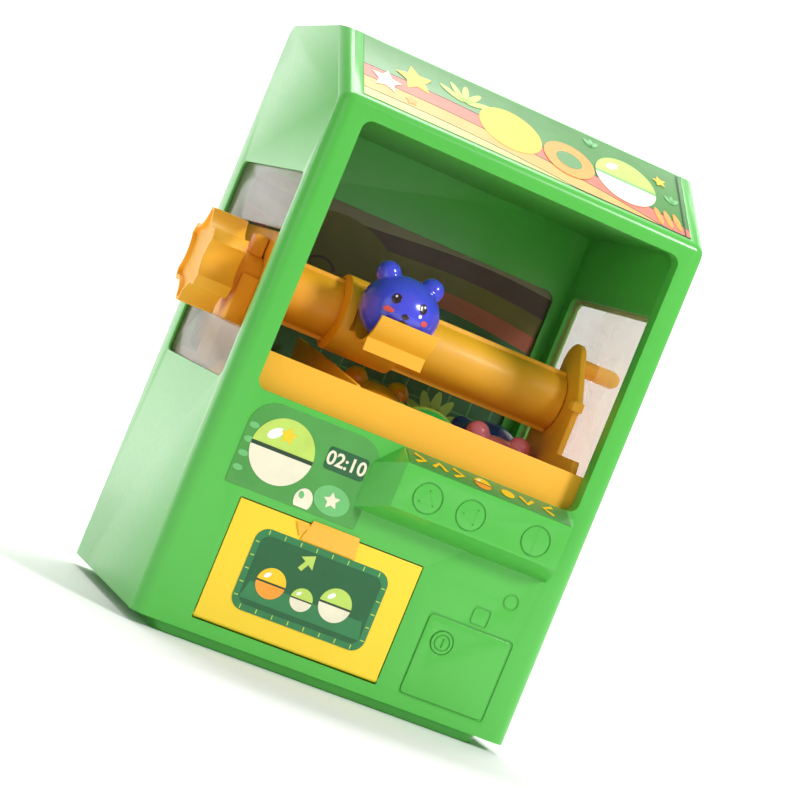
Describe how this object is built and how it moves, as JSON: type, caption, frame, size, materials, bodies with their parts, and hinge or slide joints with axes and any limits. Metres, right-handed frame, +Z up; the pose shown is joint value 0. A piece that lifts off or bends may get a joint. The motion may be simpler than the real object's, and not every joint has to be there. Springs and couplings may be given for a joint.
{
  "type": "claw crane machine",
  "caption": "Table-top toy claw crane cabinet with a side knob, a turning beam, a sliding scoop, small bear prizes and a drop-down prize door.",
  "frame": {"origin": "centre of the cabinet's underside on the resting plane; the knob and the stub stick out past the side walls", "axes": "+Z up, the front with the window and the prize door faces -Y, the knob is on the -X side"},
  "size_m": [0.1387, 0.0971, 0.1793],
  "materials": {
    "green_plastic": "moulded ABS, semi-gloss green",
    "yellow_plastic": "moulded ABS, semi-gloss warm yellow",
    "door_plastic": "moulded ABS, lemon yellow",
    "tab_plastic": "moulded ABS, orange yellow",
    "rubber_pad": "soft pad",
    "screw_steel": "zinc-plated",
    "clear_pane": "clear sheet plastic with a smoky tint",
    "marquee_print": "printed sticker",
    "backdrop_print": "printed card",
    "band_print": "printed sticker",
    "label_print": "printed sticker",
    "clock_print": "printed sticker",
    "door_print": "printed sticker",
    "blue_plastic": "moulded, gloss",
    "yellow_bear": "moulded, gloss",
    "green_bear": "moulded, gloss",
    "pink_bear": "moulded, gloss",
    "face_print": "printed features"
  },
  "bodies": {
    "cabinet": {"front_shell": "green_plastic", "front_slope": "green_plastic", "left_side": "green_plastic", "right_side": "green_plastic", "rear_wall": "green_plastic", "top_panel": "green_plastic", "ceiling": "green_plastic", "base_plate": "green_plastic", "rubber_feet": "rubber_pad", "rear_screws": "screw_steel", "marquee_card": "marquee_print", "left_pane": "clear_pane", "right_pane": "clear_pane", "rear_pane": "clear_pane", "backdrop_card": "backdrop_print", "tray": "yellow_plastic", "partition": "yellow_plastic", "chute": "yellow_plastic", "left_plate": "yellow_plastic", "bearing_column": "yellow_plastic", "right_bracket": "yellow_plastic", "bracket_stub": "yellow_plastic", "console": "green_plastic", "console_band": "band_print", "front_label": "label_print", "clock_label": "clock_print", "coin_panel": "green_plastic", "coin_lock": "green_plastic", "bear_yellow": "yellow_bear", "bear_green": "green_bear", "bear_pink": "pink_bear", "bear_navy": "blue_plastic"},
    "beam_shaft": {"shaft": "yellow_plastic", "knob": "yellow_plastic", "stop_peg": "yellow_plastic", "beam": "yellow_plastic"},
    "scoop": {"scoop_sleeve": "yellow_plastic", "scoop_cup": "yellow_plastic", "scoop_bear": "blue_plastic", "scoop_bear_face": "face_print"},
    "door": {"prize_door": "door_plastic", "door_tab": "tab_plastic", "door_picture": "door_print"}
  },
  "joints": [
    {"name": "beam_turn", "type": "hinge", "parent": "cabinet", "child": "beam_shaft", "pos_m": [0, 0, 0.1022], "axis": [1, 0, 0], "range_deg": [-65, 12]},
    {"name": "scoop_slide", "type": "slide", "parent": "beam_shaft", "child": "scoop", "axis": [1, 0, 0], "range_m": [-0.023, 0.05]},
    {"name": "door_hinge", "type": "hinge", "parent": "cabinet", "child": "door", "pos_m": [0, -0.04315, 0.00845], "axis": [1, 0, 0], "range_deg": [0, 90]}
  ]
}
